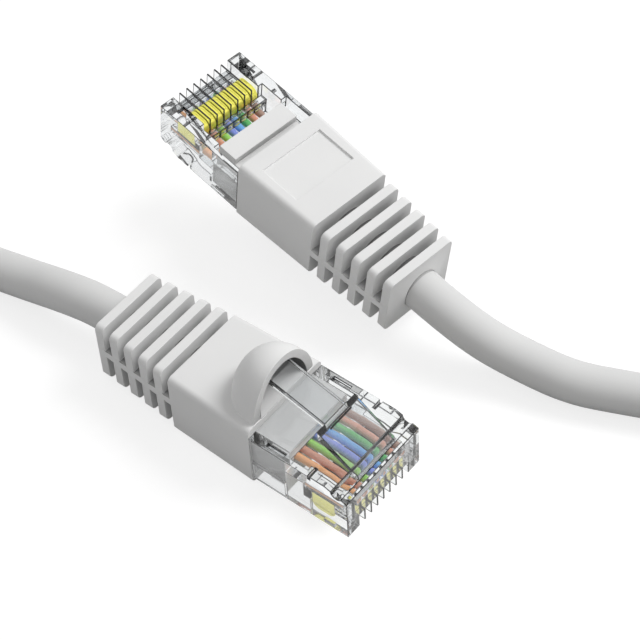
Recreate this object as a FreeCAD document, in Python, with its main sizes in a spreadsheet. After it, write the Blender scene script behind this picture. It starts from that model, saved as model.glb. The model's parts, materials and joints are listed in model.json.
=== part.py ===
import FreeCAD, Part
import math
import os

import Sketcher
from FreeCAD import Placement, Rotation, Vector

# A short network patch lead, in millimetres: one round cable with the same clear eight-contact plug
# on each end. Every plug has gold contacts in slots, a row of coloured wires, a sprung latch, a filling
# that grips the jacket, and a grey moulded boot with a hood over the latch and ribs round the cable.
#
# A plug is modelled in its own frame. X runs from the tip to the cable, Y from contact one to contact
# eight, and Z from the latch side to the contact side. The frame's origin is the middle of the tip, at
# the height of the latch side. Each plug is then laid down where it belongs beside the other.

CONTACTS = 8
PLATES = 5

# how far a cut is drawn past the piece that it opens
PAST = 1

# name, value, what it is
SIZES = [
    ("contact_pitch", 1.016, "from one contact to the next"),
    ("housing_width", 11.68, "clear housing and front of the boot, side to side"),
    ("housing_top", 6.6, "contact side"),
    ("housing_floor", 0.2, "latch side behind the nose"),
    ("front_length", 12.3, "clear front, from the tip to the boot"),
    ("tail_length", 9.2, "housing inside the boot"),
    ("nose_height", 1.1, "foot of the tip face"),
    ("nose_length", 2.8, "length of the slope under the nose"),
    ("slot_width", 0.81, "contact slot"),
    ("slot_shelf", 4.9, "slot floor ahead of the contact"),
    ("contact_front", 2.1, "from the tip to the contact"),
    ("contact_length", 2.9, "along the plug"),
    ("contact_drop", 0.6, "from the contact side down to the contact"),
    ("contact_height", 2.3, "head of the contact"),
    ("contact_width", 0.75, "head of the contact"),
    ("contact_corner", 0.9, "radius of the head's two upper corners"),
    ("tine_width", 0.3, "tine across the wire"),
    ("tine_length", 0.35, "tine along the wire"),
    ("tine_inset", 0.55, "from the head's ends to the tines"),
    ("wire_diameter", 0.78, "insulated wire"),
    ("core_diameter", 0.5, "copper core"),
    ("wire_height", 3.1, "axis of the flat row"),
    ("wire_start", 1.0, "from the tip to the wires' ends"),
    ("bundle_radius", 1.26, "from the cable's axis to the outer wires"),
    ("seat_gap", 0.05, "clearance round the wires and contacts"),
    ("comb_length", 0.8, "clear wall behind the slots"),
    ("comb_top", 4.7, "clear wall behind the slots"),
    ("rail_recess_front", 1.9, "from the tip to the recess on each rail"),
    ("rail_recess_length", 1.35, "recess on each rail"),
    ("rail_recess_inside", 4.1, "from the middle to the recess on each rail"),
    ("rail_recess_width", 1.0, "recess on each rail"),
    ("rail_recess_depth", 0.3, "recess on each rail"),
    ("notch_front", 4.5, "from the tip to the notch across each rail, latch side"),
    ("notch_length", 0.3, "notch across each rail"),
    ("notch_inside", 4.6, "from the middle to the notch"),
    ("notch_depth", 0.45, "notch across each rail"),
    ("groove_front", 8.1, "from the tip to the groove along each rail, latch side"),
    ("groove_length", 2.2, "groove along each rail"),
    ("groove_inside", 4.95, "from the middle to the groove along each rail"),
    ("groove_width", 0.45, "groove along each rail"),
    ("groove_depth", 0.35, "groove along each rail"),
    ("filling_front", 8.05, "from the tip to the filling"),
    ("filling_width", 9.1, "filling and its pocket"),
    ("filling_foot", 0.2, "filling under the jacket"),
    ("side_wall", 0.54, "clear wall beside the clamping bar"),
    ("ledge", 4.4, "floor of the gap beside the clamping bar"),
    ("filling_high", 6.0, "top of the filling inside the boot"),
    ("bar_length", 2.5, "clamping bar along the plug"),
    ("bar_top", 6.2, "clamping bar"),
    ("recess_floor", 5.3, "recess between the bar and the boot"),
    ("cable_diameter", 4.6, "jacket outside"),
    ("jacket_bore", 3.5, "jacket inside"),
    ("cable_height", 3.3, "cable's axis"),
    ("jacket_start", 14.5, "from the tip to the end of the jacket"),
    ("row_end", 8.8, "from the tip to where the wires leave the flat row"),
    ("way_front", 8.6, "from the tip to the hollow that the wires close up in"),
    ("wire_tail", 0.1, "wires drawn inside the jacket"),
    ("boot_wall", 0.9, "beside the housing"),
    ("boot_top", 7.7, "contact side of the boot's block"),
    ("boot_low_front", -0.7, "latch side at the boot's mouth"),
    ("boot_low_rear", -0.65, "latch side from the block's rear on"),
    ("block_length", 10.9, "boot's solid block"),
    ("block_rear_width", 10.9, "boot's block where the ribs start"),
    ("boot_corner", 0.7, "radius of the boot's long edges"),
    ("plate_pitch", 2.13, "from one rib to the next"),
    ("plate_thickness", 1.07, "rib along the cable"),
    ("plate_top", 7.4, "contact side of the ribs"),
    ("plate_front_width", 10.9, "ribbed part at its front"),
    ("plate_rear_width", 9.25, "last rib"),
    ("fin_low", 2.65, "flat fin that joins the ribs"),
    ("fin_high", 3.61, "flat fin that joins the ribs"),
    ("end_rise", 0.4, "raised centre of the last rib"),
    ("end_width", 5.4, "ridge across the cable on the last rib"),
    ("end_height", 0.6, "ridge across the cable on the last rib"),
    ("panel_inset", 2.0, "from the boot's mouth to the bare panel"),
    ("panel_length", 5.2, "bare recessed panel"),
    ("panel_width", 8.4, "bare recessed panel"),
    ("panel_depth", 0.25, "bare recessed panel"),
    ("hood_inset", 0.1, "from the boot's mouth to the hood's rim"),
    ("hood_straight", 0.7, "from the rim to where the hood starts to close"),
    ("hood_half_width", 4.7, "hood outside"),
    ("hood_base", -0.4, "level that the hood is drawn from"),
    ("hood_height", 6.1, "from that level to the hood's crown"),
    ("hood_crown_radius", 3.8, "top of the hood's arch"),
    ("hood_wall", 1.0, "thickness of the hood"),
    ("pivot_front", 1.3, "from the tip to the latch's pivot"),
    ("pivot_height", 0.5, "latch's pivot"),
    ("knuckle_radius", 0.6, "root of the latch"),
    ("knuckle_gap", 0.05, "clearance round the root"),
    ("arm_half_width", 3.0, "wide part of the latch"),
    ("shoulder", 5.7, "from the tip to the latch's shoulders"),
    ("shoulder_low", -3.1, "outer face of the latch at the shoulders"),
    ("arm_thickness", 1.2, "wide part of the latch"),
    ("finger_half_width", 1.65, "narrow part of the latch"),
    ("finger_reach", 1.0, "latch inside the hood, from the boot's mouth"),
    ("finger_low", -4.96, "outer face of the latch at its end"),
    ("finger_thickness", 0.95, "narrow part of the latch"),
    ("plug_a_x", -7.41, "first plug's tip"),
    ("plug_a_y", 24.52, "first plug's tip"),
    ("plug_a_yaw", -48.73, "degrees, first plug"),
    ("plug_a_tilt", 8.69, "degrees that its tip stands up, leaning on its hood"),
    ("plug_b_x", 9.72, "second plug's tip"),
    ("plug_b_y", -23.86, "second plug's tip"),
    ("plug_b_yaw", 138.6, "degrees, second plug, which lies latch side up"),
    ("exit_run", 3.4, "straight stretch of cable behind each boot"),
]

# The free cable's route on the surface, from the first plug round in front to the second. The heights
# of the first points let the cable down from the boots, and the rest is at the cable's own radius.
FREE_POINTS = [
    (21.2, -6.9, 4.5),
    (25.1, -8.8, 2.9),
    (29.8, -11.7, 2.3),
    (34.3, -13.3, 2.3),
    (42.8, -15.9, 2.3),
    (51.1, -25.3, 2.3),
    (50.7, -37.9, 2.3),
    (41.7, -46.8, 2.3),
    (17.0, -48.0, 2.3),
    (-24.5, -44.2, 2.3),
    (-47.6, -34.4, 2.3),
    (-58.8, -13.0, 2.3),
    (-57.0, 1.4, 2.3),
    (-49.4, 11.0, 2.3),
    (-37.5, 13.3, 2.3),
    (-27.5, 7.5, 2.6),
    (-22.0, 3.3, 4.3),
]

doc = FreeCAD.newDocument("patch_lead")
sheet = doc.addObject("Spreadsheet::Sheet", "Sizes")


def fill_sheet():
    for row, (alias, value, meaning) in enumerate(SIZES, start=1):
        sheet.set(f"A{row}", meaning)
        sheet.set(f"B{row}", str(value))
        sheet.setAlias(f"B{row}", alias)
    doc.recompute()


def size(alias):
    return float(sheet.get(alias))


def formula(text):
    """A formula in plain size names, with each name pointed at the sheet."""
    words = sorted((alias for alias, _, _ in SIZES if alias in text), key=len, reverse=True)
    for number, alias in enumerate(words):
        text = text.replace(alias, f"<{number}>")
    for number, alias in enumerate(words):
        text = text.replace(f"<{number}>", f"Sizes.{alias}")
    return text


# Places that several pieces share, as formulas

BOOT_END = f"(front_length + block_length + {PLATES} * plate_pitch)"
CABLE_EXIT = f"({BOOT_END} + end_rise)"
HOUSING_END = "(front_length + tail_length)"
CONTACT_REAR = "(contact_front + contact_length)"
CONTACT_TOP = "(housing_top - contact_drop)"
CONTACT_FOOT = "(housing_top - contact_drop - contact_height)"
ROW_HALF_WIDTH = f"({CONTACTS - 1} / 2 * contact_pitch + wire_diameter / 2 + seat_gap)"
ROW_TOP = "(wire_height + wire_diameter / 2 + seat_gap)"
ROW_FLOOR = "(wire_height - wire_diameter / 2 - seat_gap)"
SLOT_FOOT = "(wire_height + wire_diameter / 2)"
BLOCK_END = "(front_length + block_length)"
FINGER_END = "(front_length + finger_reach)"
FILLING_LOW = "(cable_height - cable_diameter / 2 - seat_gap - filling_foot)"
TAIL_HALF = "(housing_width / 2 - boot_wall)"


def across(index):
    """How far contact or wire number index, from 0, lies from the plug's middle, in pitches."""
    return index - (CONTACTS - 1) / 2


# Sketches and features


def new_body(label):
    body = doc.addObject("PartDesign::Body", "Body")
    body.Label = label
    return body


def origin_plane(body, role):
    return next(f for f in body.Origin.OriginFeatures if f.Role == role)


def new_sketch(body, name, role, lift):
    sketch = body.newObject("Sketcher::SketchObject", name)
    sketch.AttachmentSupport = [(origin_plane(body, role), "")]
    sketch.MapMode = "FlatFace"
    sketch.setExpression("AttachmentOffset.Base.z", formula(lift))
    return sketch


def outline(body, name, role, corners, lift="0"):
    """A closed outline of straight lines, each corner held by two formulas."""
    sketch = new_sketch(body, name, role, lift)
    count = len(corners)
    turns = [2 * math.pi * i / count for i in range(count)]
    start = [Vector(math.cos(turn), math.sin(turn), 0) for turn in turns]
    for i in range(count):
        sketch.addGeometry(Part.LineSegment(start[i], start[(i + 1) % count]), False)
    for i in range(count):
        sketch.addConstraint(Sketcher.Constraint("Coincident", i, 2, (i + 1) % count, 1))
    for i, (along, up) in enumerate(corners):
        for kind, text in (("DistanceX", along), ("DistanceY", up)):
            held = sketch.addConstraint(Sketcher.Constraint(kind, -1, 1, i, 1, 1.0))
            sketch.setExpression(f"Constraints[{held}]", formula(text))
    return sketch


def rectangle(body, name, role, left, right, low, high, lift="0"):
    return outline(body, name, role, [(left, low), (right, low), (right, high), (left, high)], lift)


def slab(body, name, half_width, low, high, lift):
    """A rectangle across the plug, as wide on one side of its middle as on the other."""
    return rectangle(body, name, "YZ_Plane", f"-{half_width}", half_width, low, high, lift)


def top_view(body, name, front, rear, half_width, lift):
    """A rectangle seen from the contact side, as wide on one side of the middle as on the other."""
    return rectangle(body, name, "XY_Plane", front, rear, f"-{half_width}", half_width, lift)


def circle(body, name, role, along, up, radius, lift="0"):
    sketch = new_sketch(body, name, role, lift)
    sketch.addGeometry(Part.Circle(Vector(1, 1, 0), Vector(0, 0, 1), 1.0), False)
    for kind, text in (("DistanceX", along), ("DistanceY", up)):
        held = sketch.addConstraint(Sketcher.Constraint(kind, -1, 1, 0, 3, 1.0))
        sketch.setExpression(f"Constraints[{held}]", formula(text))
    held = sketch.addConstraint(Sketcher.Constraint("Radius", 0, 1.0))
    sketch.setExpression(f"Constraints[{held}]", formula(radius))
    return sketch


def rounded_rectangle(body, name, half_width, low, high, lift):
    """A section across the plug with its four corners rounded by the boot's corner radius."""
    sketch = new_sketch(body, name, "YZ_Plane", lift)
    far, near, round_size = 3.0, 2.0, 1.0
    ends = [
        ((-near, -far), (near, -far)),
        ((far, -near), (far, near)),
        ((near, far), (-near, far)),
        ((-far, near), (-far, -near)),
    ]
    middles = [(near, -near), (near, near), (-near, near), (-near, -near)]
    for side, (start, end) in enumerate(ends):
        sketch.addGeometry(Part.LineSegment(Vector(*start, 0), Vector(*end, 0)), False)
        round_part = Part.Circle(Vector(*middles[side], 0), Vector(0, 0, 1), round_size)
        first = math.pi / 2 * (side - 1)
        sketch.addGeometry(Part.ArcOfCircle(round_part, first, first + math.pi / 2), False)
    for piece in range(8):
        sketch.addConstraint(Sketcher.Constraint("Tangent", piece, 2, (piece + 1) % 8, 1))
    for line, kind in ((0, "Horizontal"), (2, "Vertical"), (4, "Horizontal"), (6, "Vertical")):
        sketch.addConstraint(Sketcher.Constraint(kind, line))
    for arc in (3, 5, 7):
        sketch.addConstraint(Sketcher.Constraint("Equal", 1, arc))
    held = [
        (Sketcher.Constraint("Radius", 1, round_size), "boot_corner"),
        (Sketcher.Constraint("DistanceY", -1, 1, 0, 1, -far), low),
        (Sketcher.Constraint("DistanceX", -1, 1, 2, 1, far), half_width),
        (Sketcher.Constraint("DistanceY", -1, 1, 4, 1, far), high),
        (Sketcher.Constraint("DistanceX", -1, 1, 6, 1, -far), f"-({half_width})"),
    ]
    for constraint, text in held:
        number = sketch.addConstraint(constraint)
        sketch.setExpression(f"Constraints[{number}]", formula(text))
    return sketch


def hood_profile(body, name, inset):
    """Half of the hood's arch, from its foot round a long side arc and a short crown arc to its axis.
    The inside of the hood is the same arch drawn in by its wall."""
    sketch = new_sketch(body, name, "YZ_Plane", "front_length + hood_inset + hood_straight")
    foot, base, crown = size("hood_half_width"), size("hood_base"), size("hood_crown_radius")
    rise = size("hood_height")
    side = (foot**2 + rise**2 - 2 * rise * crown) / (2 * (foot - crown))
    side_middle, crown_middle = Vector(foot - side, base, 0), Vector(0, base - rise + crown, 0)
    lean = math.atan2(crown_middle.y - side_middle.y, crown_middle.x - side_middle.x)
    up = Vector(0, 0, 1)
    sketch.addGeometry(Part.LineSegment(Vector(0, base, 0), Vector(foot, base, 0)), False)
    sketch.addGeometry(Part.ArcOfCircle(Part.Circle(side_middle, up, side), lean, 0), False)
    sketch.addGeometry(Part.ArcOfCircle(Part.Circle(crown_middle, up, crown), -math.pi / 2, lean), False)
    sketch.addGeometry(Part.LineSegment(Vector(0, base - rise, 0), Vector(0, base, 0)), False)
    for joint in ((0, 2, 1, 2), (2, 1, 3, 1), (3, 2, 0, 1)):
        sketch.addConstraint(Sketcher.Constraint("Coincident", *joint))
    sketch.addConstraint(Sketcher.Constraint("Tangent", 1, 1, 2, 2))
    held = [
        (Sketcher.Constraint("DistanceX", -1, 1, 0, 1, 0.0), "0"),
        (Sketcher.Constraint("DistanceY", -1, 1, 0, 1, base), "hood_base"),
        (Sketcher.Constraint("DistanceX", -1, 1, 0, 2, foot), f"hood_half_width - {inset}"),
        (Sketcher.Constraint("DistanceY", -1, 1, 0, 2, base), "hood_base"),
        (Sketcher.Constraint("DistanceX", -1, 1, 3, 1, 0.0), "0"),
        (Sketcher.Constraint("DistanceY", -1, 1, 3, 1, base - rise), f"hood_base - hood_height + {inset}"),
        (Sketcher.Constraint("DistanceX", -1, 1, 2, 3, 0.0), "0"),
        (Sketcher.Constraint("DistanceY", -1, 1, 1, 3, base), "hood_base"),
        (Sketcher.Constraint("Radius", 2, crown), f"hood_crown_radius - {inset}"),
    ]
    for constraint, text in held:
        number = sketch.addConstraint(constraint)
        sketch.setExpression(f"Constraints[{number}]", formula(text))
    return sketch


def dome_middle():
    return size("front_length") + size("hood_inset") + size("hood_straight")


def turn(body, name, sketch, cut=False):
    """Half a turn of a profile about its own upright axis, towards the cable."""
    feature = body.newObject("PartDesign::Groove" if cut else "PartDesign::Revolution", name)
    feature.Profile = sketch
    feature.ReferenceAxis = (sketch, ["V_Axis"])
    feature.Angle = 180
    feature.Reversed = True
    return feature


def mirror(body, name, feature):
    """The same feature on the other side of the plug."""
    copy = body.newObject("PartDesign::Mirrored", name)
    copy.Originals = [feature]
    copy.MirrorPlane = (origin_plane(body, "XZ_Plane"), [""])
    body.Tip = copy
    return copy


def pad(body, name, sketch, length, symmetric=False, reverse=False):
    feature = body.newObject("PartDesign::Pad", name)
    feature.Profile = sketch
    feature.SideType = "Symmetric" if symmetric else "One side"
    feature.Reversed = reverse
    feature.setExpression("Length", formula(length))
    return feature


def pocket(body, name, sketch, length, symmetric=False, forward=False):
    """A cut that runs against the sketch's normal, or along it if forward."""
    feature = body.newObject("PartDesign::Pocket", name)
    feature.Profile = sketch
    feature.SideType = "Symmetric" if symmetric else "One side"
    feature.Reversed = forward
    feature.setExpression("Length", formula(length))
    return feature


def loft(body, name, front, rear):
    feature = body.newObject("PartDesign::AdditiveLoft", name)
    feature.Profile = front
    feature.Sections = [rear]
    feature.Ruled = True
    return feature


def repeat(body, name, features, role, spacing, count, reverse=False):
    """Copies of features in a row along the normal of an origin plane."""
    pattern = body.newObject("PartDesign::LinearPattern", name)
    pattern.Originals = features
    pattern.Direction = (origin_plane(body, role), [""])
    pattern.Reversed = reverse
    pattern.Occurrences = count
    pattern.setExpression("Length", formula(f"{count - 1} * {spacing}"))
    body.Tip = pattern
    return pattern


def fillet(body, name, radius, wanted):
    """Rounds each edge of the body, as it is so far, that wanted picks."""
    doc.recompute()
    base = body.Tip
    edges = [f"Edge{i}" for i, edge in enumerate(base.Shape.Edges, start=1) if wanted(edge)]
    feature = body.newObject("PartDesign::Fillet", name)
    feature.Base = (base, edges)
    feature.setExpression("Radius", formula(radius))
    return feature


def crosses(edge):
    """Whether an edge runs across the plug."""
    return edge.BoundBox.YLength > 0.1


# The pieces of one plug


def rail_cut(body, name, width, level):
    """The same shallow cut in both rails, from the contact side or from the latch side."""
    front, inside = f"{name}_front", f"{name}_inside"
    view = rectangle(
        body,
        f"{name}_view",
        "XY_Plane",
        front,
        f"{front} + {name}_length",
        inside,
        f"{inside} + {width}",
        level,
    )
    cut = pocket(body, name, view, f"{name}_depth", forward=level == "housing_floor")
    mirror(body, f"{name}_mirrored", cut)


def make_housing(label):
    """Clear moulding: a nose with eight slots, a window over the wires and a pocket for the filling."""
    body = new_body(label)
    side = outline(
        body,
        "side_view",
        "XZ_Plane",
        [
            ("0", "nose_height"),
            ("nose_length", "housing_floor"),
            ("front_length", "housing_floor"),
            ("front_length", "housing_top"),
            ("0", "housing_top"),
        ],
    )
    pad(body, "front_block", side, "housing_width", symmetric=True)
    tail = slab(body, "tail_end", TAIL_HALF, "housing_floor", "housing_top", HOUSING_END)
    pad(body, "tail", tail, "tail_length", reverse=True)

    comb_rear = f"({CONTACT_REAR} + comb_length)"
    window = top_view(body, "window_view", comb_rear, "front_length", "filling_width / 2", "housing_top")
    pocket(body, "window", window, f"housing_top - {ROW_FLOOR}")
    comb = top_view(body, "comb_view", CONTACT_REAR, comb_rear, "filling_width / 2", "housing_top")
    pocket(body, "comb_step", comb, "housing_top - comb_top")
    gap_half = "(housing_width / 2 - side_wall)"
    gap = top_view(body, "bar_gap_view", "filling_front", "front_length", gap_half, "housing_top")
    pocket(body, "bar_gap", gap, "housing_top - ledge")
    hold = slab(body, "filling_end", "filling_width / 2", FILLING_LOW, "filling_high", HOUSING_END)
    pocket(body, "filling_pocket", hold, f"{HOUSING_END} - filling_front")
    row = slab(body, "row_end_view", ROW_HALF_WIDTH, ROW_FLOOR, ROW_TOP, "filling_front")
    pocket(body, "wire_channel", row, "filling_front - (wire_start - seat_gap)")
    rail_cut(body, "rail_recess", "rail_recess_width", "housing_top")
    rail_cut(body, "notch", f"housing_width / 2 + {PAST} - notch_inside", "housing_floor")
    rail_cut(body, "groove", "groove_width", "housing_floor")

    bore = "knuckle_radius + knuckle_gap"
    seat = circle(body, "latch_seat_view", "XZ_Plane", "pivot_front", "pivot_height", bore)
    pocket(body, "latch_seat", seat, f"housing_width + 2 * {PAST}", symmetric=True)

    slot = outline(
        body,
        "slot_view",
        "XZ_Plane",
        [
            (f"-{PAST}", "slot_shelf"),
            ("contact_front - seat_gap", "slot_shelf"),
            ("contact_front - seat_gap", SLOT_FOOT),
            (CONTACT_REAR, SLOT_FOOT),
            (CONTACT_REAR, f"housing_top + {PAST}"),
            (f"-{PAST}", f"housing_top + {PAST}"),
        ],
        f"{across(0)} * contact_pitch",
    )
    first = pocket(body, "slot", slot, "slot_width", symmetric=True)
    repeat(body, "slots", [first], "XZ_Plane", "contact_pitch", CONTACTS)
    return body


def make_latch(label):
    """Sprung latch: a round root, a wide arm with square shoulders and a narrow finger."""
    body = new_body(label)
    root = circle(body, "root_view", "XZ_Plane", "pivot_front", "pivot_height", "knuckle_radius")
    pad(body, "root", root, "2 * arm_half_width", symmetric=True)
    arm = outline(
        body,
        "arm_view",
        "XZ_Plane",
        [
            ("pivot_front", "pivot_height - knuckle_radius"),
            ("shoulder", "shoulder_low"),
            ("shoulder", "shoulder_low + arm_thickness"),
            ("pivot_front + 0.8 * knuckle_radius", "pivot_height - 0.6 * knuckle_radius"),
            ("pivot_front", "pivot_height"),
        ],
    )
    pad(body, "arm", arm, "2 * arm_half_width", symmetric=True)
    finger = outline(
        body,
        "finger_view",
        "XZ_Plane",
        [
            ("shoulder - arm_thickness / 2", "shoulder_low + 0.3 * arm_thickness"),
            (FINGER_END, "finger_low"),
            (FINGER_END, "finger_low + finger_thickness"),
            ("shoulder - arm_thickness / 2", "shoulder_low + arm_thickness"),
        ],
    )
    pad(body, "finger", finger, "2 * finger_half_width", symmetric=True)
    end = size("front_length") + size("finger_reach")
    fillet(body, "tip", "0.4 * finger_thickness", lambda e: crosses(e) and e.BoundBox.XMin > end - 0.01)
    return body


def make_contact(label, index):
    """Gold blade: a rounded head and two tines that reach through the wire's cover to its core."""
    body = new_body(label)
    middle = f"{-across(index)} * contact_pitch"
    head = rectangle(
        body,
        "head_view",
        "XZ_Plane",
        "contact_front",
        CONTACT_REAR,
        CONTACT_FOOT,
        CONTACT_TOP,
        middle,
    )
    pad(body, "head", head, "contact_width", symmetric=True)
    top = size("housing_top") - size("contact_drop")
    fillet(body, "head_corners", "contact_corner", lambda e: crosses(e) and e.BoundBox.ZMin > top - 0.01)
    tine = rectangle(
        body,
        "tine_view",
        "XZ_Plane",
        "contact_front + tine_inset",
        "contact_front + tine_inset + tine_length",
        "wire_height + core_diameter / 2",
        CONTACT_FOOT,
        middle,
    )
    first = pad(body, "tine", tine, "tine_width", symmetric=True)
    repeat(body, "tines", [first], "YZ_Plane", "(contact_length - 2 * tine_inset - tine_length)", 2)
    return body


# where each wire of the flat row goes in the round bundle, chosen so that none crosses another
BUNDLE_ORDER = [4, 5, 3, 6, 0, 2, 7, 1]


def bundle_place(place):
    """Place of a wire in the jacket: one in the middle and the rest evenly round it, turned by a quarter
    of their spacing so that no two start side by side."""
    if place == 0:
        return 0.0, size("cable_height")
    spacing = 2 * math.pi / (CONTACTS - 1)
    turn = spacing * (place - 1 + 1 / 4)
    radius = size("bundle_radius")
    return radius * math.cos(turn), size("cable_height") + radius * math.sin(turn)


def wire_route(index):
    """Corners of a wire's axis: along the flat row, and across to its place in the mouth of the jacket.
    The bend is inside the opaque filling, so it stays a plain mitre."""
    beside = across(index) * size("contact_pitch")
    y, z = bundle_place(BUNDLE_ORDER[index])
    return [
        Vector(size("wire_start"), beside, size("wire_height")),
        Vector(size("row_end"), beside, size("wire_height")),
        Vector(size("jacket_start") + size("wire_tail"), y, z),
    ]


def rounded_path(corners):
    """Straight runs joined by tangent arcs, each arc as large as its two runs allow."""
    edges, radii = [], []
    last = corners[0]
    for before, corner, after in zip(corners, corners[1:], corners[2:]):
        back, on = before - corner, after - corner
        half_turn = (math.pi - back.getAngle(on)) / 2
        trim = 0.45 * min(back.Length, on.Length)
        radii.append(trim / math.tan(half_turn))
        back.normalize()
        on.normalize()
        start, end = corner + back * trim, corner + on * trim
        inward = back + on
        inward.normalize()
        middle = corner + inward * (radii[-1] / math.cos(half_turn) - radii[-1])
        edges += [Part.LineSegment(last, start).toShape(), Part.Arc(start, middle, end).toShape()]
        last = end
    edges.append(Part.LineSegment(last, corners[-1]).toShape())
    return Part.Wire(edges), radii


def tube(path, radius, mitred=False):
    """A round solid of one radius along a path, with mitres where it has corners."""
    first = path.Edges[0]
    start = first.valueAt(first.FirstParameter)
    ring = Part.Wire(Part.makeCircle(radius, start, first.tangentAt(first.FirstParameter)))
    return path.makePipeShell([ring], True, False, 1 if mitred else 0)


def make_wire(label, index):
    """Coloured wire: its cover, bored for the core at the front and cut where the two tines reach in."""
    cover = tube(Part.makePolygon(wire_route(index)), size("wire_diameter") / 2, mitred=True)
    beside = across(index) * size("contact_pitch")
    cuts = [core_solid(index)]
    inset, long_side, wide = size("tine_inset"), size("tine_length"), size("tine_width")
    first = size("contact_front") + inset
    for front in (first, size("contact_front") + size("contact_length") - inset - long_side):
        foot = Vector(front, beside - wide / 2, size("wire_height"))
        cuts.append(Part.makeBox(long_side, wide, size("wire_diameter"), foot))
    for cut in cuts:
        cover = cover.cut(cut)
    piece = doc.addObject("Part::Feature", "Wire")
    piece.Label = label
    piece.Shape = cover
    return piece


def core_solid(index):
    foot = Vector(size("wire_start"), across(index) * size("contact_pitch"), size("wire_height"))
    return Part.makeCylinder(size("core_diameter") / 2, core_length(), foot, Vector(1, 0, 0))


def core_length():
    return size("filling_front") - size("wire_start")


def make_cores(label):
    """The copper cores along the flat row, where the contacts reach them."""
    cores = []
    for index in range(CONTACTS):
        core = doc.addObject("Part::Cylinder", "Core")
        core.setExpression("Radius", formula("core_diameter / 2"))
        core.setExpression("Height", formula("filling_front - wire_start"))
        core.setExpression("Placement.Base.x", formula("wire_start"))
        core.setExpression("Placement.Base.y", formula(f"{across(index)} * contact_pitch"))
        core.setExpression("Placement.Base.z", formula("wire_height"))
        core.Placement.Rotation = Rotation(Vector(0, 1, 0), 90)
        cores.append(core)
    group = doc.addObject("Part::Compound", "Cores")
    group.Label = label
    group.Links = cores
    return group


def make_filling(label):
    """Grey filling in the housing's rear: the clamping bar, the recess behind it, and the hollow where the
    wires close up from the flat row to the round bundle."""
    body = new_body(label)
    side = outline(
        body,
        "side_view",
        "XZ_Plane",
        [
            ("filling_front", FILLING_LOW),
            (HOUSING_END, FILLING_LOW),
            (HOUSING_END, "filling_high"),
            ("front_length", "filling_high"),
            ("front_length", "recess_floor"),
            ("filling_front + bar_length", "recess_floor"),
            ("filling_front + bar_length", "bar_top"),
            ("filling_front", "bar_top"),
        ],
    )
    pad(body, "block", side, "filling_width", symmetric=True)
    half_bore = "(jacket_bore / 2)"
    flat = slab(body, "row_mouth", ROW_HALF_WIDTH, ROW_FLOOR, ROW_TOP, "way_front")
    pocket(body, "row_way", flat, "way_front - filling_front")
    low, high = f"cable_height - {half_bore}", f"cable_height + {half_bore}"
    hollow = slab(body, "hollow_view", ROW_HALF_WIDTH, low, high, "jacket_start")
    pocket(body, "wire_hollow", hollow, "jacket_start - way_front")
    seat = circle(
        body,
        "jacket_seat_view",
        "YZ_Plane",
        "0",
        "cable_height",
        "cable_diameter / 2 + seat_gap",
        HOUSING_END,
    )
    pocket(body, "jacket_seat", seat, f"{HOUSING_END} - jacket_start")
    return body


def make_jacket_end(label):
    """The cable's jacket from inside the filling to where it leaves the boot."""
    body = new_body(label)
    outside = circle(body, "outside", "YZ_Plane", "0", "cable_height", "cable_diameter / 2", "jacket_start")
    pad(body, "jacket", outside, f"{CABLE_EXIT} - jacket_start")
    inside = circle(body, "inside", "YZ_Plane", "0", "cable_height", "jacket_bore / 2", "jacket_start")
    pocket(body, "bore", inside, f"{CABLE_EXIT} - jacket_start", forward=True)
    return body


def make_boot(label):
    """Moulded boot in one piece: hood, block, ribs joined by a flat fin, and the raised last rib."""
    body = new_body(label)
    outside = hood_profile(body, "hood_outside", "0")
    turn(body, "hood_rear", outside)
    mirror(body, "hood_front", pad(body, "hood_side", outside, "hood_straight", reverse=True))
    inside = hood_profile(body, "hood_inside", "hood_wall")
    turn(body, "hollow_rear", inside, cut=True)
    mirror(body, "hollow_front", pocket(body, "hollow_side", inside, "hood_straight"))

    half, low = "housing_width / 2", "boot_low_front"
    mouth = rounded_rectangle(body, "block_front", half, low, "boot_top", "front_length")
    half, low = "block_rear_width / 2", "boot_low_rear"
    rear = rounded_rectangle(body, "block_rear", half, low, "boot_top", BLOCK_END)
    loft(body, "block", mouth, rear)
    fin = outline(
        body,
        "fin_view",
        "XY_Plane",
        [
            (BLOCK_END, "-plate_front_width / 2"),
            (BOOT_END, "-plate_rear_width / 2"),
            (BOOT_END, "plate_rear_width / 2"),
            (BLOCK_END, "plate_front_width / 2"),
        ],
        "fin_low",
    )
    pad(body, "fin", fin, "fin_high - fin_low")
    for rib in range(1, PLATES + 1):
        rear = f"({BLOCK_END} + {rib} * plate_pitch)"
        half = f"(plate_front_width / 2 - {rib / PLATES} * (plate_front_width - plate_rear_width) / 2)"
        view = rounded_rectangle(body, f"rib_view_{rib}", half, "boot_low_rear", "plate_top", rear)
        pad(body, f"rib_{rib}", view, "plate_thickness", reverse=True)

    inset = "boot_corner / 2"
    foot = slab(
        body,
        "end_foot",
        f"(plate_rear_width / 2 - {inset})",
        f"boot_low_rear + {inset}",
        f"plate_top - {inset}",
        BOOT_END,
    )
    low, high = "cable_height - end_height / 2", "cable_height + end_height / 2"
    crown = slab(body, "end_crown", "end_width / 2", low, high, CABLE_EXIT)
    loft(body, "raised_end", foot, crown)

    hold = slab(body, "housing_seat_view", TAIL_HALF, "housing_floor", "housing_top", "front_length")
    pocket(body, "housing_seat", hold, "tail_length", forward=True)
    bore = "cable_diameter / 2"
    hole = circle(body, "cable_hole_view", "YZ_Plane", "0", "cable_height", bore, "front_length")
    pocket(body, "cable_hole", hole, f"{CABLE_EXIT} - front_length", forward=True)
    edge = "front_length + panel_inset"
    panel = top_view(body, "panel_view", edge, f"{edge} + panel_length", "panel_width / 2", "boot_top")
    pocket(body, "bare_panel", panel, "panel_depth")
    return body


# Where the plugs and the cable lie


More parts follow.
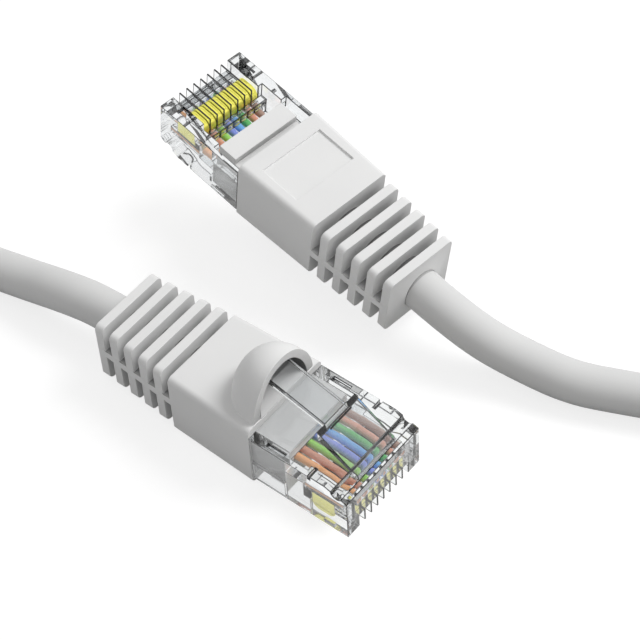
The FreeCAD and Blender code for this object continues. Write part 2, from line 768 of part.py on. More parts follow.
def plug_frame(name):
    """Where a plug lies. The first leans on its hood, tip up. The second lies on its contact side."""
    if name == "plug_a":
        turn = Rotation(size("plug_a_yaw"), size("plug_a_tilt"), 0)
        up = turn.inverted().multVec(Vector(0, 0, 1))
        crown = size("hood_crown_radius")
        middle = Vector(dome_middle(), 0, size("hood_base") - size("hood_height") + crown)
        return Placement(Vector(size("plug_a_x"), size("plug_a_y"), crown - middle.dot(up)), turn)
    turn = Rotation(size("plug_b_yaw"), 0, 180)
    return Placement(Vector(size("plug_b_x"), size("plug_b_y"), size("boot_top")), turn)


def exit_points(name):
    """Where the cable leaves a plug, and the end of its straight stretch there."""
    length = size("front_length") + size("block_length") + PLATES * size("plate_pitch") + size("end_rise")
    frame = plug_frame(name)
    return [frame.multVec(Vector(length + run, 0, size("cable_height"))) for run in (0, size("exit_run"))]


def make_cable(label):
    """The free cable between the plugs, as one tube."""
    route = exit_points("plug_a") + [Vector(*point) for point in FREE_POINTS] + exit_points("plug_b")[::-1]
    path, radii = rounded_path(route)
    solid = tube(path, size("cable_diameter") / 2)
    expected = math.pi * (size("cable_diameter") / 2) ** 2 * path.Length
    print("cable length", round(path.Length, 1))
    print("cable volume", round(solid.Volume, 1), "expected", round(expected, 1))
    print("bend radii", [round(radius, 1) for radius in radii])
    print("runs", [round((b - a).Length, 1) for a, b in zip(route, route[1:])])
    piece = doc.addObject("Part::Feature", "Cable")
    piece.Label = label
    piece.Shape = solid
    return piece


def make_plug(name):
    pieces = [
        make_housing(f"{name}_housing"),
        make_latch(f"{name}_latch"),
        make_boot(f"{name}_boot"),
        make_filling(f"{name}_filling"),
        make_jacket_end(f"{name}_jacket_end"),
        make_cores(f"{name}_copper_cores"),
    ]
    for index in range(CONTACTS):
        pieces.append(make_contact(f"{name}_contact_{index + 1}", index))
        pieces.append(make_wire(f"{name}_wire_{index + 1}", index))
    doc.recompute()
    frame = plug_frame(name)
    for piece in pieces:
        piece.Placement = frame
    return pieces


def check(pieces):
    for item in doc.Objects:
        bad = {"Invalid", "Error"} & set(item.State)
        if bad:
            raise RuntimeError(f"{item.Label} ({item.Name}) is {bad}")
    for piece in pieces:
        if piece.Shape.isNull() or not piece.Shape.isValid():
            raise RuntimeError(f"{piece.Label} has no valid shape")


fill_sheet()
nodes = make_plug("plug_a") + make_plug("plug_b") + [make_cable("cable")]
doc.recompute()
check(nodes)
os.makedirs("parts", exist_ok=True)
for node in nodes:
    node.Shape.exportStep(f"parts/{node.Label}.step")
print(len(nodes), "pieces written")
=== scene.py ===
# %% [markdown]
# A short network patch lead, shown as its maker would photograph it: two clear plugs with gold contacts
# and coloured wires, each in a grey moulded boot, and one round cable between them. The lead's
# construction comes packed as a fixed frame. This lesson gives every piece its finish, lays the cable,
# and rounds the edges that a moulding tool leaves round. Lengths are metres unless a name ends in MM.

# %% The frame
import json
import math

import bmesh
import bpy
from mathutils import Matrix, Vector


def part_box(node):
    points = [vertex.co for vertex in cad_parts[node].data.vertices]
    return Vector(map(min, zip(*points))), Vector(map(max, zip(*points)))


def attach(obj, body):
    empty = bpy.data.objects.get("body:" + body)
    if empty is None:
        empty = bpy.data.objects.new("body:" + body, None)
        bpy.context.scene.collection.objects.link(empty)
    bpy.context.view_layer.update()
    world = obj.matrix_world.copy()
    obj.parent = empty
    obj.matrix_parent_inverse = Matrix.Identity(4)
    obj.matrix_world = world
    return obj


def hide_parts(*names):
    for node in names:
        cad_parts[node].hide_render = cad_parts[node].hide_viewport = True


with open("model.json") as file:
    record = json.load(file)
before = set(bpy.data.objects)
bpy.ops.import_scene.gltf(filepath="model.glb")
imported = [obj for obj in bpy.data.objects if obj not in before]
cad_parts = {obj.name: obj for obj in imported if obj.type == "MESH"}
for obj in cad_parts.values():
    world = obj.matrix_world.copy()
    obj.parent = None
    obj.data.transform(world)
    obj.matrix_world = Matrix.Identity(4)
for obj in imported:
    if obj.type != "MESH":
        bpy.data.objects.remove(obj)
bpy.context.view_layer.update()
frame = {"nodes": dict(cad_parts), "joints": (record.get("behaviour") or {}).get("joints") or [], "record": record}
nodes = frame["nodes"]
record = frame["record"]
MM = 0.001
print("pieces in the frame:", len(nodes))

# %% [markdown]
# Each plug has a frame of its own: one way runs from its tip to the cable, one runs across from contact
# one to contact eight, and one points to the contact side. The record holds the latch's hinge and the
# nose's mount, and those two give all three directions and the point at the middle of the tip.

# %% Where the plugs lie
NOSE_HEIGHT = 3.85 * MM
CONTACT_PITCH = 1.016 * MM
CONTACTS = 8
PLUGS = ("plug_a", "plug_b")


def plug_place(plug):
    """Turns a point of the plug's own frame into the lead's frame."""
    nose = next(m for m in record["mounts"] if m["name"] == f"{plug}_nose")
    press = next(j for j in frame["joints"] if j["name"] == f"latch_{plug[-1]}_press")
    along = -Vector(nose["axis"])
    across = -Vector(press["axis"])
    up = along.cross(across)
    place = Matrix((along, across, up)).transposed().to_4x4()
    place.translation = Vector(nose["pos_m"]) - NOSE_HEIGHT * up
    return place


places = {plug: plug_place(plug) for plug in PLUGS}
for plug in PLUGS:
    print(plug, "tip at", [round(v / MM, 2) for v in places[plug].translation], "mm")

# %% [markdown]
# The camera stands where the photographer's stood: about 22 cm away and 50 degrees above the table, with
# a long lens, and turned a few degrees about its own line of sight.

# %% The camera
AIM = Vector((4.51, 0.8, 0.0)) * MM
DISTANCE = 225.38 * MM
ELEVATION = math.radians(50.07)
ROLL = math.radians(-3.86)
FOCAL_MM = 117.77


def make_camera():
    """The scene's camera, looking at the aim."""
    data = bpy.data.cameras.new("camera")
    data.lens = FOCAL_MM
    data.sensor_width = 36.0
    data.clip_start, data.clip_end = 0.01, 10.0
    camera = bpy.data.objects.new("camera", data)
    bpy.context.scene.collection.objects.link(camera)
    away = Vector((0, -math.cos(ELEVATION), math.sin(ELEVATION)))
    camera.matrix_world = (
        Matrix.Translation(AIM + DISTANCE * away)
        @ Matrix.Rotation(math.pi / 2 - ELEVATION, 4, "X")
        @ Matrix.Rotation(ROLL, 4, "Z")
    )
    bpy.context.scene.camera = camera
    return camera


camera = make_camera()
print("camera at", [round(v / MM) for v in camera.matrix_world.translation], "mm")

# %% [markdown]
# The cable is one fixed length of soft cord. It leaves each boot straight, sinks to the table and lies
# there in a single loose loop, most of it outside the picture. A smooth curve through a few listed points
# bends like the real thing, where a chain of straight runs would look like wire.

# %% The cable
CABLE_DIAMETER = 4.6 * MM
BOOT_LENGTH = 34.25 * MM
CABLE_HEIGHT = 3.3 * MM
EXIT_RUN = 3.4 * MM
ROUTE_MM = [
    (21.2, -6.9, 4.5),
    (25.1, -8.8, 2.9),
    (29.8, -11.7, 2.3),
    (34.3, -13.3, 2.3),
    (42.8, -15.9, 2.3),
    (51.1, -25.3, 2.3),
    (50.7, -37.9, 2.3),
    (41.7, -46.8, 2.3),
    (17.0, -48.0, 2.3),
    (-24.5, -44.2, 2.3),
    (-47.6, -34.4, 2.3),
    (-58.8, -13.0, 2.3),
    (-57.0, 1.4, 2.3),
    (-49.4, 11.0, 2.3),
    (-37.5, 13.3, 2.3),
    (-27.5, 7.5, 2.6),
    (-22.0, 3.3, 4.3),
]


def cable_end(plug):
    """Where the cable leaves a boot, and where its first straight stretch ends."""
    return [places[plug] @ Vector((BOOT_LENGTH + run, 0, CABLE_HEIGHT)) for run in (0, EXIT_RUN)]


def make_cable():
    """The cord: a smooth curve from one boot to the other."""
    points = cable_end("plug_a") + [Vector(p) * MM for p in ROUTE_MM] + cable_end("plug_b")[::-1]
    data = bpy.data.curves.new("cable_jacket", "CURVE")
    data.dimensions = "3D"
    data.bevel_depth = 1.0
    data.bevel_resolution = 10
    data.resolution_u = 12
    line = data.splines.new("NURBS")
    line.points.add(len(points) - 1)
    for target, point in zip(line.points, points):
        target.co = (*point, 1)
        target.radius = CABLE_DIAMETER / 2
    line.order_u = 3
    line.use_endpoint_u = True
    piece = bpy.data.objects.new("cable_jacket", data)
    bpy.context.scene.collection.objects.link(piece)
    return piece


cable = make_cable()
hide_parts("cable")
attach(cable, "lead")

# %% [markdown]
# Finishes are shader nodes. Colours are written as a designer's hex codes and turned to the linear values
# that light works in.

# %% Tools for finishes
def colour(code):
    """The linear colour of a hex code."""
    parts = [int(code[i : i + 2], 16) / 255 for i in (1, 3, 5)]
    return tuple(p / 12.92 if p <= 0.04045 else ((p + 0.055) / 1.055) ** 2.4 for p in parts) + (1.0,)


def add(tree, kind, sockets=None, **settings):
    """Adds a node, with its settings, and with a value or another node's output for each socket."""
    new = tree.nodes.new(kind)
    for name, value in settings.items():
        setattr(new, name, value)
    for name, value in (sockets or {}).items():
        if isinstance(value, bpy.types.NodeSocket):
            tree.links.new(value, new.inputs[name])
        else:
            new.inputs[name].default_value = value
    return new


def new_material(name):
    """A material with only an output node."""
    material = bpy.data.materials.new(name)
    material.use_nodes = True
    tree = material.node_tree
    tree.nodes.clear()
    return material, tree, tree.nodes.new("ShaderNodeOutputMaterial")


# %% [markdown]
# The boots are soft PVC, injected into a tool that is spark eroded, so their skin is matt with a very fine
# even grain. The grain is real relief, so it goes to the bump, and a little of it to the roughness. A
# second, slower noise gives the faint cloudiness that the pigment has. Light is lost in the gaps between
# the ribs and under the hood. An Ambient Occlusion node finds such places from the shape alone, and its
# level mixes in a darker grey there, which is painted shade. The cable's jacket is the same PVC, extruded.
# The jacket, the clamping bar and the hollows get darker painted shade of their own in such places,
# chosen from the photograph.

# %% Moulded vinyl of the boots
GRAIN_MM, GRAIN_DEPTH_MM = 0.16, 0.012
CLOUD_MM = 5.0
MATT_LOW, MATT_HIGH = 0.5, 0.62
NOISE_LOW, NOISE_HIGH = 0.3, 0.7
DEEP_FROM, DEEP_TO = 0.03, 0.15
DEEPEST_PAINTED_SHADE = "#484848"
PALE, PALER = "#e2e2e2", "#e8e8e7"


def make_vinyl(name, shade_reach_mm, painted_shade_colour, open_at, alone, deepest_painted_shade=DEEPEST_PAINTED_SHADE, tints=(PALE, PALER)):
    """Grey PVC with painted shade: a darker grey in crevices up to the given depth; alone leaves other pieces out
    of that.
    """
    material, tree, output = new_material(name)
    place = add(tree, "ShaderNodeTexCoord").outputs["Object"]
    grain = add(tree, "ShaderNodeTexNoise", {"Vector": place, "Scale": 1 / (GRAIN_MM * MM), "Detail": 2.0})
    cloud = add(tree, "ShaderNodeTexNoise", {"Vector": place, "Scale": 1 / (CLOUD_MM * MM), "Detail": 3.0})
    tint = add(tree, "ShaderNodeMix", {"Factor": cloud.outputs["Fac"]}, data_type="RGBA")
    tint.inputs["A"].default_value = colour(tints[0])
    tint.inputs["B"].default_value = colour(tints[1])
    reach = {"Distance": shade_reach_mm * MM}
    # Painted shade: the occlusion level below darkens the colour in crevices.
    depth = add(tree, "ShaderNodeAmbientOcclusion", reach, samples=8, only_local=alone).outputs["AO"]
    open_range = {"Value": depth, "From Min": open_at / 3, "From Max": open_at}
    open_part = add(tree, "ShaderNodeMapRange", open_range)
    deep_range = {"Value": depth, "From Min": DEEP_FROM, "From Max": DEEP_TO}
    deep_part = add(tree, "ShaderNodeMapRange", deep_range)
    low = add(tree, "ShaderNodeMix", {"Factor": deep_part.outputs["Result"]}, data_type="RGBA")
    low.inputs["A"].default_value = colour(deepest_painted_shade)
    low.inputs["B"].default_value = colour(painted_shade_colour)
    shade = add(
        tree,
        "ShaderNodeMix",
        {"Factor": open_part.outputs["Result"], "A": low.outputs["Result"], "B": tint.outputs["Result"]},
        data_type="RGBA",
    )
    matt = add(
        tree,
        "ShaderNodeMapRange",
        {
            "Value": grain.outputs["Fac"],
            "From Min": NOISE_LOW,
            "From Max": NOISE_HIGH,
            "To Min": MATT_LOW,
            "To Max": MATT_HIGH,
        },
    )
    relief = {"Height": grain.outputs["Fac"], "Strength": 0.3, "Distance": GRAIN_DEPTH_MM * MM}
    bump = add(tree, "ShaderNodeBump", relief)
    skin = add(
        tree,
        "ShaderNodeBsdfPrincipled",
        {
            "Base Color": shade.outputs["Result"],
            "Roughness": matt.outputs["Result"],
            "IOR": 1.53,
            "Specular IOR Level": 0.35,
            "Normal": bump.outputs["Normal"],
        },
    )
    tree.links.new(skin.outputs[0], output.inputs["Surface"])
    return material


# The boot's and the jacket's crevices get painted shade.
boot_vinyl = make_vinyl("moulded grey PVC", 3.0, "#d2d2d2", 0.42, alone=True, deepest_painted_shade="#a0a0a0")
jacket_vinyl = make_vinyl("extruded grey PVC", 7.0, "#aaaaaa", 0.7, alone=False, tints=("#d3d3d3", "#d9d9d8"))
# The cable inside the boot is painted dark as shade.
sleeve_painted_shade = make_vinyl("extruded grey PVC in the boot", 5.0, "#585858", 0.95, alone=False, deepest_painted_shade="#303030")
# The recess behind the clamping bar gets painted shade.
filling_vinyl = make_vinyl("moulded grey clamping bar with painted recess shade", 3.0, "#8c8c8c", 0.7, alone=True, deepest_painted_shade="#808080")
# The hollows are painted dark as shade.
hollow_painted_shade = make_vinyl("moulded grey PVC in hollows, painted dark as shade", 7.0, "#626262", 0.78, alone=False)
print("vinyl finishes:", [m.name for m in bpy.data.materials if "grey" in m.name])

# %% [markdown]
# The plug's body and latch are polycarbonate, injected into a polished tool, so their skin is as smooth as
# glass and bends light strongly. A Principled shader with full transmission does that by itself. Two
# things help it here. Lamps should reach the wires inside, so shadow rays pass straight through. And seen
# along its surface, clear plastic turns the dark parts of a room towards the eye, which a white room
# doesn't have, so Layer Weight lowers its tint there: a painted dark reflection. The rounded edges and the
# thin rims show the same dark parts from every side, so they are painted nearly black, the same painted
# dark reflection.

# %% Clear polycarbonate
# The grazing tints are painted dark reflection, and the rim tints paint the rims nearly black as dark reflection.
CLEAR, GRAZING_PAINTED_DARK = "#f0f2f3", "#2c2e30"
EDGE, EDGE_GRAZING_PAINTED_DARK = "#17181a", "#0c0d0e"
SLANT_FROM, SLANT_TO = 0.62, 0.97
LETS_THROUGH = 0.98


def make_clear(name, face_on, grazing, roughness):
    """Clear plastic whose tint goes from face_on to grazing as its surface turns away; the grazing tint is a
    painted dark reflection.
    """
    material, tree, output = new_material(name)
    slant = add(tree, "ShaderNodeLayerWeight", {"Blend": 0.5}).outputs["Facing"]
    edge_range = {"Value": slant, "From Min": SLANT_FROM, "From Max": SLANT_TO}
    edge = add(tree, "ShaderNodeMapRange", edge_range, interpolation_type="SMOOTHSTEP")
    tint = add(tree, "ShaderNodeMix", {"Factor": edge.outputs["Result"]}, data_type="RGBA")
    tint.inputs["A"].default_value = colour(face_on)
    tint.inputs["B"].default_value = colour(grazing)
    glass = add(
        tree,
        "ShaderNodeBsdfPrincipled",
        {
            "Base Color": tint.outputs["Result"],
            "Roughness": roughness,
            "IOR": 1.585,
            "Transmission Weight": 1.0,
        },
    )
    open_air = add(tree, "ShaderNodeBsdfTransparent", {"Color": (*[LETS_THROUGH] * 3, 1)})
    path = add(tree, "ShaderNodeLightPath")
    lets_light = add(
        tree,
        "ShaderNodeMath",
        {0: path.outputs["Is Shadow Ray"], 1: path.outputs["Is Diffuse Ray"]},
        operation="MAXIMUM",
    )
    mix = {0: lets_light.outputs[0], 1: glass.outputs[0], 2: open_air.outputs[0]}
    both = add(tree, "ShaderNodeMixShader", mix)
    tree.links.new(both.outputs[0], output.inputs["Surface"])
    return material


polycarbonate = make_clear("clear polycarbonate", CLEAR, GRAZING_PAINTED_DARK, 0.015)
# The rims' finish is a painted dark reflection, nearly black from every side.
painted_dark_rim = make_clear("rounded edge of clear polycarbonate, painted dark", EDGE, EDGE_GRAZING_PAINTED_DARK, 0.05)
print("clear finishes:", polycarbonate.name, "and", painted_dark_rim.name)

# %% [markdown]
# The contacts are phosphor bronze, stamped and plated with thin gold, and the cores are drawn copper.
# Both are metals, so their colour is the colour of their reflections. Handling leaves faint wear, which
# a fine noise gives to the roughness. The gold keeps a part of plain yellow under its shine, chosen
# because the photograph shows it light.

# %% Gold plate and bare copper
WEAR_MM = 0.2


def make_metal(name, code, roughness, metallic):
    """A metal with faint wear in its roughness."""
    material, tree, output = new_material(name)
    place = add(tree, "ShaderNodeTexCoord").outputs["Object"]
    wear = add(tree, "ShaderNodeTexNoise", {"Vector": place, "Scale": 1 / (WEAR_MM * MM), "Detail": 3.0})
    level = add(
        tree,
        "ShaderNodeMapRange",
        {
            "Value": wear.outputs["Fac"],
            "From Min": NOISE_LOW,
            "From Max": NOISE_HIGH,
            "To Min": roughness - 0.05,
            "To Max": roughness + 0.08,
        },
    )
    metal = add(
        tree,
        "ShaderNodeBsdfPrincipled",
        {"Base Color": colour(code), "Metallic": metallic, "Roughness": level.outputs["Result"]},
    )
    tree.links.new(metal.outputs[0], output.inputs["Surface"])
    return material


gold = make_metal("gold plate", "#fff870", 0.2, 0.68)
copper = make_metal("bare copper", "#c77b4d", 0.35, 1.0)
print("metals:", gold.name, "and", copper.name)

# %% [markdown]
# The wire covers are polyethylene, coloured in the mass and extruded onto the wire, so they are smooth
# and a little waxy: some light goes in and comes out beside where it went in. A Principled shader with
# some subsurface does that. The order of the colours follows the photograph.

# %% Coloured wire covers
WIRE_COLOURS = ["#f6b27c", "#dba08a", "#a2dc6c", "#8c9cec", "#7db8fb", "#69c076", "#e4a58f", "#b3968a"]
WIRE_NAMES = ["orange", "brown", "lime", "violet", "light_blue", "green", "salmon", "taupe"]


def make_cover(name, code):
    """Waxy coloured polyethylene."""
    material, tree, output = new_material(f"{name} polyethylene")
    cover = add(
        tree,
        "ShaderNodeBsdfPrincipled",
        {
            "Base Color": colour(code),
            "Roughness": 0.3,
            "IOR": 1.51,
            "Subsurface Weight": 0.3,
            "Subsurface Radius": (1.0, 1.0, 1.0),
            "Subsurface Scale": 0.3 * MM,
        },
    )
    tree.links.new(cover.outputs[0], output.inputs["Surface"])
    return material


covers = [make_cover(name, code) for name, code in zip(WIRE_NAMES, WIRE_COLOURS)]
print("wire covers:", len(covers))

# %% [markdown]
# A CAD node comes as loose triangles, which look faceted where the real surface is round. A copy with its
# corners joined can be shaded smooth. Moulding tools leave every outer edge slightly round, and that round
# is what catches the light, so a Bevel modifier finishes the copies of the moulded pieces and contacts.
# Some faces are painted dark: the rims of the clear pieces with a painted dark reflection, and the boot's hood
# inside and fin with painted shade.

# %% Finished copies of the frame's pieces
SMOOTH_ANGLE = math.radians(32)
FLAT_ANGLE = math.radians(0.2)
SQUARE_ANGLE = math.radians(60)
BEVEL_ANGLE = math.radians(40)
MERGE_MM = 0.0005
BOOT_EDGE_MM, PLASTIC_EDGE_MM, CONTACT_EDGE_MM = 0.07, 0.08, 0.05
RIM_MM = 0.3
RIM_SHARE = 0.8
HOOD_FRONT, HOOD_REAR = 12.0 * MM, 22.0 * MM
HOOD_BASE = -0.6 * MM
FIN_MIDDLE, FIN_HALF = 3.13 * MM, 0.6 * MM
RIBS_FRONT, RIBS_REAR = 23.1 * MM, 34.0 * MM
FACES_UP = 0.9


def is_rim(face):
    """True for a narrow strip between two square corners, such as the top of a thin wall."""
    around = sum(edge.calc_length() for edge in face.edges)
    square = [e for e in face.edges if len(e.link_faces) == 2 and e.calc_face_angle() > SQUARE_ANGLE]
    narrow = 2 * face.calc_area() / around < RIM_MM * MM
    return narrow and sum(edge.calc_length() for edge in square) > RIM_SHARE * around


def in_plug(face, plug):
    """The centre and the normal of a face in its plug's own frame."""
    back = places[plug].inverted()
    return back @ face.calc_center_median(), back.to_3x3() @ face.normal


def in_hood(face, plug):
    """True for a face of the hood's inner wall: it lies behind the boot's mouth and looks inwards."""
    centre, normal = in_plug(face, plug)
    inwards = normal.y * centre.y + normal.z * centre.z < 0
    return inwards and HOOD_FRONT < centre.x < HOOD_REAR and centre.z < HOOD_BASE


def on_fin(face, plug):
    """True for a broad face of the flat fin that joins the boot's ribs."""
    centre, normal = in_plug(face, plug)
    among_ribs = RIBS_FRONT < centre.x < RIBS_REAR
    return among_ribs and abs(normal.z) > FACES_UP and abs(centre.z - FIN_MIDDLE) < FIN_HALF


def smooth_copy(node, material, body, edge_mm=0.0, painted_dark_material=None):
    """A copy of a CAD piece with its triangles joined, its edges rounded and its round faces smooth."""
    mesh = bpy.data.meshes.new(f"{node}_finished")
    work = bmesh.new()
    work.from_mesh(nodes[node].data)
    bmesh.ops.remove_doubles(work, verts=work.verts, dist=MERGE_MM * MM)
    bmesh.ops.dissolve_limit(work, angle_limit=FLAT_ANGLE, verts=work.verts, edges=work.edges)
    plug = node[: len(PLUGS[0])]
    for face in work.faces:
        face.smooth = True
        if node.endswith("boot"):
            apart = in_hood(face, plug) or on_fin(face, plug)
        else:
            apart = is_rim(face)
        # Faces inside the hood and on the fin take painted shade, and thin clear rims a painted dark reflection.
        face.material_index = 1 if painted_dark_material and apart else 0
    work.to_mesh(mesh)
    work.free()
    if "custom_normal" in mesh.attributes:
        mesh.attributes.remove(mesh.attributes["custom_normal"])
    mesh.materials.append(material)
    if painted_dark_material:
        mesh.materials.append(painted_dark_material)
    mesh.set_sharp_from_angle(angle=SMOOTH_ANGLE)
    piece = bpy.data.objects.new(f"{node}_finished", mesh)
    bpy.context.scene.collection.objects.link(piece)
    if edge_mm:
        bevel = piece.modifiers.new("moulded edge", "BEVEL")
        bevel.width = edge_mm * MM
        bevel.segments = 2
        bevel.limit_method = "ANGLE"
        bevel.angle_limit = BEVEL_ANGLE
        bevel.harden_normals = True
        bevel.use_clamp_overlap = False
        # The rounded edges of the clear pieces take the painted dark reflection too.
        if painted_dark_material is painted_dark_rim:
            bevel.material = 1
    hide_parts(node)
    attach(piece, body)
    return piece


for plug in PLUGS:
    latch_body = f"latch_{plug[-1]}"
    smooth_copy(f"{plug}_boot", boot_vinyl, "lead", BOOT_EDGE_MM, hollow_painted_shade)
    smooth_copy(f"{plug}_filling", filling_vinyl, "lead", PLASTIC_EDGE_MM)
    smooth_copy(f"{plug}_jacket_end", sleeve_painted_shade, "lead")
    smooth_copy(f"{plug}_housing", polycarbonate, "lead", PLASTIC_EDGE_MM, painted_dark_rim)
    smooth_copy(f"{plug}_latch", polycarbonate, latch_body, PLASTIC_EDGE_MM, painted_dark_rim)
    smooth_copy(f"{plug}_copper_cores", copper, "lead")
    for i in range(CONTACTS):
        smooth_copy(f"{plug}_contact_{i + 1}", gold, "lead", CONTACT_EDGE_MM)
cable.data.materials.append(jacket_vinyl)

# %% [markdown]
# Inside each plug, eight coloured wires lie side by side under the contacts and then close up into the
# round bundle of the cable. The covers are extruded, so each is a plain tube. In the photograph they are
# thicker just behind the contacts, which is taken here for a swelling from the contacts' pressure. All
# sixteen follow one rule, so one Geometry Nodes tree makes them: it sweeps a circle along the wire's line
# and lets its size follow the distance from the cut end.

# %% The tree that makes a wire's cover
WIRE_RADIUS = 0.39 * MM
WIRE_WALL = 0.13 * MM
SWELL_RADIUS = 0.43 * MM
SWELL_FROM, SWELL_TO = 4.2 * MM, 5.0 * MM
SWELL_EASE = 0.25 * MM
TUBE_STEPS, TUBE_SIDES = 90, 20


def make_cover_tree():
    """The tree, and the identifier of each of its inputs."""
    tree = bpy.data.node_groups.new("wire cover", "GeometryNodeTree")
    sockets = {}
    for name, kind in (
        ("Line", "NodeSocketGeometry"),
        ("Radius", "NodeSocketFloat"),
        ("Swelling", "NodeSocketFloat"),
        ("Swelling From", "NodeSocketFloat"),
        ("Swelling To", "NodeSocketFloat"),
        ("Cover", "NodeSocketMaterial"),
    ):
        sockets[name] = tree.interface.new_socket(name, in_out="INPUT", socket_type=kind).identifier
    tree.interface.new_socket("Tube", in_out="OUTPUT", socket_type="NodeSocketGeometry")
    given = tree.nodes.new("NodeGroupInput").outputs
    line = add(tree, "GeometryNodeMeshToCurve", {"Mesh": given["Line"]})
    steps = add(tree, "GeometryNodeResampleCurve", {"Curve": line.outputs[0], "Count": TUBE_STEPS})
    run = add(tree, "GeometryNodeSplineParameter").outputs["Length"]
    start = add(tree, "ShaderNodeMath", {0: given["Swelling From"], 1: SWELL_EASE}, operation="SUBTRACT")
    stop = add(tree, "ShaderNodeMath", {0: given["Swelling To"], 1: SWELL_EASE}, operation="ADD")
    rise = add(
        tree,
        "ShaderNodeMapRange",
        {"Value": run, "From Min": start.outputs[0], "From Max": given["Swelling From"]},
        interpolation_type="SMOOTHSTEP",
    )
    fall = add(
        tree,
        "ShaderNodeMapRange",
        {"Value": run, "From Min": stop.outputs[0], "From Max": given["Swelling To"]},
        interpolation_type="SMOOTHSTEP",
    )
    bump = add(tree, "ShaderNodeMath", {0: rise.outputs[0], 1: fall.outputs[0]}, operation="MULTIPLY")
    size_range = {"Value": bump.outputs[0], "To Min": given["Radius"], "To Max": given["Swelling"]}
    size = add(tree, "ShaderNodeMapRange", size_range)
    ring = add(tree, "GeometryNodeCurvePrimitiveCircle", {"Resolution": TUBE_SIDES, "Radius": 1.0})
    tube = add(
        tree,
        "GeometryNodeCurveToMesh",
        {"Curve": steps.outputs[0], "Profile Curve": ring.outputs["Curve"], "Scale": size.outputs["Result"]},
    )
    smooth = add(tree, "GeometryNodeSetShadeSmooth", {"Geometry": tube.outputs["Mesh"]})
    real = add(tree, "GeometryNodeRealizeInstances", {"Geometry": smooth.outputs[0]})
    finish = {"Geometry": real.outputs[0], "Material": given["Cover"]}
    painted = add(tree, "GeometryNodeSetMaterial", finish)
    output = tree.nodes.new("NodeGroupOutput")
    tree.links.new(painted.outputs[0], output.inputs["Tube"])
    return tree, sockets


cover_tree, cover_sockets = make_cover_tree()
print("inputs of the wire cover tree:", list(cover_sockets))

# %% The wires
WIRE_HEIGHT = 3.1 * MM
WIRE_START, ROW_END = 1.0 * MM, 8.8 * MM
BUNDLE_START = 14.6 * MM
BUNDLE_RADIUS = 1.26 * MM
BUNDLE_ORDER = [4, 5, 3, 6, 0, 2, 7, 1]
BUNDLE_TURN = 0.75


def wire_points(plug, i):
    """The wire's line: its cut end, where it leaves the flat row, and its place in the round bundle."""
    beside = (i - (CONTACTS - 1) / 2) * CONTACT_PITCH
    turn = 2 * math.pi / (CONTACTS - 1) * (BUNDLE_ORDER[i] - BUNDLE_TURN)
    out = BUNDLE_RADIUS if BUNDLE_ORDER[i] else 0.0
    own = [
        (WIRE_START, beside, WIRE_HEIGHT),
        (ROW_END, beside, WIRE_HEIGHT),
        (BUNDLE_START, out * math.cos(turn), CABLE_HEIGHT + out * math.sin(turn)),
    ]
    return [places[plug] @ Vector(point) for point in own]


def make_wire(plug, i):
    """One wire's cover, made by the tree and given its wall."""
    line = bpy.data.meshes.new("line")
    line.from_pydata(wire_points(plug, i), [(0, 1), (1, 2)], [])
    piece = bpy.data.objects.new(f"{plug}_wire_{i + 1}_cover", line)
    bpy.context.scene.collection.objects.link(piece)
    sweep = piece.modifiers.new("wire cover", "NODES")
    sweep.node_group = cover_tree
    for name, value in (
        ("Radius", WIRE_RADIUS),
        ("Swelling", SWELL_RADIUS),
        ("Swelling From", SWELL_FROM),
        ("Swelling To", SWELL_TO),
        ("Cover", covers[i]),
    ):
        sweep[cover_sockets[name]] = value
    shown = piece.evaluated_get(bpy.context.evaluated_depsgraph_get())
    tube = bpy.data.meshes.new_from_object(shown)
    piece.modifiers.remove(sweep)
    piece.data = tube
    bpy.data.meshes.remove(line)
    wall = piece.modifiers.new("wall", "SOLIDIFY")
    wall.thickness = WIRE_WALL
    wall.offset = -1.0
    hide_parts(f"{plug}_wire_{i + 1}")
    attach(piece, "lead")
    return piece


def box_off(piece, node):
    """How far the box of a piece is from the box of the node that it replaces."""
    steps = []
    for axis, (node_low, node_high) in enumerate(zip(*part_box(node))):
        values = [corner[axis] for corner in piece.bound_box]
        steps += [abs(min(values) - node_low), abs(max(values) - node_high)]
    return max(steps)


for plug in PLUGS:
    for i in range(CONTACTS):
        wire = make_wire(plug, i)
        off = box_off(wire, f"{plug}_wire_{i + 1}")
        print(wire.name, "faces", len(wire.data.polygons), "box off by mm", round(off / MM, 2))

# %% [markdown]
# The object lies on a plain white table. Lit as strongly as white needs, the table would throw light back
# under the plugs and lose their shadow. So it is a matt grey that also glows, and it glows only for the
# camera, through clear plastic and in shiny surfaces. It keeps a soft shadow under the plugs.

# %% Floor
FLOOR_GLOW, FLOOR_MATT = 0.76, 0.33
FLOOR_HALF = 3.0


def seen_directly(tree):
    """1 for a ray from the camera, through clear plastic or off a shiny surface, and 0 for any other."""
    path = add(tree, "ShaderNodeLightPath").outputs
    clear_rays = {0: path["Is Camera Ray"], 1: path["Is Transmission Ray"]}
    clear = add(tree, "ShaderNodeMath", clear_rays, operation="MAXIMUM").outputs[0]
    all_rays = {0: clear, 1: path["Is Glossy Ray"]}
    return add(tree, "ShaderNodeMath", all_rays, operation="MAXIMUM").outputs[0]


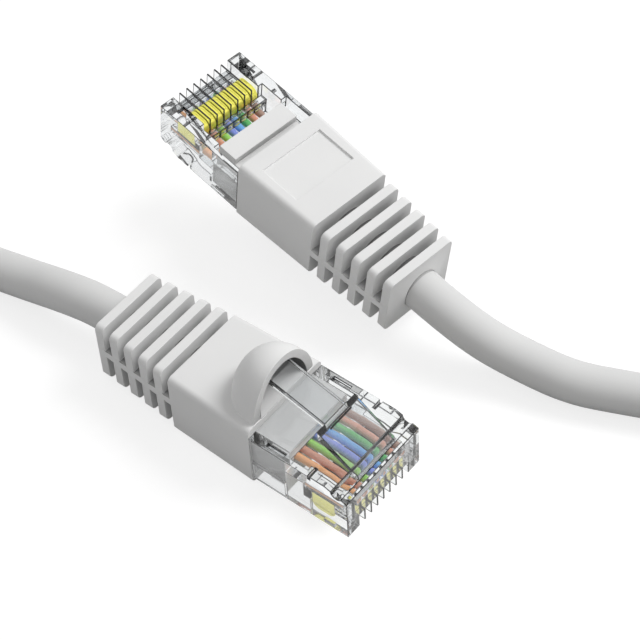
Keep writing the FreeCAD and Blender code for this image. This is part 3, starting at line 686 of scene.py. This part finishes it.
def make_floor():
    """The white table."""
    mesh = bpy.data.meshes.new("floor")
    corners = [(x * FLOOR_HALF, y * FLOOR_HALF, 0) for x, y in ((-1, -1), (1, -1), (1, 1), (-1, 1))]
    mesh.from_pydata(corners, [], [(0, 1, 2, 3)])
    piece = bpy.data.objects.new("floor", mesh)
    bpy.context.scene.collection.objects.link(piece)
    material, tree, output = new_material("white table")
    matte = add(tree, "ShaderNodeBsdfDiffuse", {"Color": (*[FLOOR_MATT] * 3, 1)})
    glow = add(tree, "ShaderNodeMath", {0: seen_directly(tree), 1: FLOOR_GLOW}, operation="MULTIPLY")
    shine = add(tree, "ShaderNodeEmission", {"Color": (1, 1, 1, 1), "Strength": glow.outputs[0]})
    both = add(tree, "ShaderNodeAddShader", {0: matte.outputs[0], 1: shine.outputs[0]})
    tree.links.new(both.outputs[0], output.inputs["Surface"])
    mesh.materials.append(material)
    return piece


# %% [markdown]
# A light tent surrounds the object. It is a little brighter near the table than overhead, so the sides
# get their level from it. A large soft lamp behind on the right adds the tops' full level and the shade
# across the cable. It is not seen in mirrors or through clear plastic, because its white image would
# wash out the wires under the latch. The camera, clear plastic and metal see plain white all round.

# %% World and lamps
ROOM_LOW, ROOM_HIGH = 0.64, 0.42
ROOM_TOP = 0.9
KEY_PLACE = (0.40, 0.12, 0.47)
KEY_SIZE = 0.3
KEY_POWER = 2.75


def make_world():
    """The light tent."""
    world = bpy.data.worlds.new("light tent")
    bpy.context.scene.world = world
    world.use_nodes = True
    tree = world.node_tree
    tree.nodes.clear()
    output = tree.nodes.new("ShaderNodeOutputWorld")
    look = add(tree, "ShaderNodeTexCoord").outputs["Generated"]
    height = add(tree, "ShaderNodeSeparateXYZ", {"Vector": look}).outputs["Z"]
    levels = {"Value": height, "From Min": 0.0, "From Max": ROOM_TOP, "To Min": ROOM_LOW, "To Max": ROOM_HIGH}
    level = add(tree, "ShaderNodeMapRange", levels)
    room = add(tree, "ShaderNodeBackground", {"Color": (1, 1, 1, 1), "Strength": level.outputs["Result"]})
    white = add(tree, "ShaderNodeBackground", {"Color": (1, 1, 1, 1), "Strength": 1.0})
    mix = {0: seen_directly(tree), 1: room.outputs[0], 2: white.outputs[0]}
    both = add(tree, "ShaderNodeMixShader", mix)
    tree.links.new(both.outputs[0], output.inputs["Surface"])


def make_lamp(name, place, size, power):
    """A square lamp that looks at the frame's origin."""
    data = bpy.data.lights.new(name, "AREA")
    data.size = size
    data.energy = power
    lamp = bpy.data.objects.new(name, data)
    lamp.visible_glossy = False
    lamp.visible_transmission = False
    lamp.location = place
    lamp.rotation_mode = "QUATERNION"
    lamp.rotation_quaternion = (-Vector(place)).to_track_quat("-Z", "Y")
    bpy.context.scene.collection.objects.link(lamp)


make_floor()
make_world()
make_lamp("key", KEY_PLACE, KEY_SIZE, KEY_POWER)
bpy.context.scene.view_settings.view_transform = "Standard"
print("lamps:", len(bpy.data.lights))
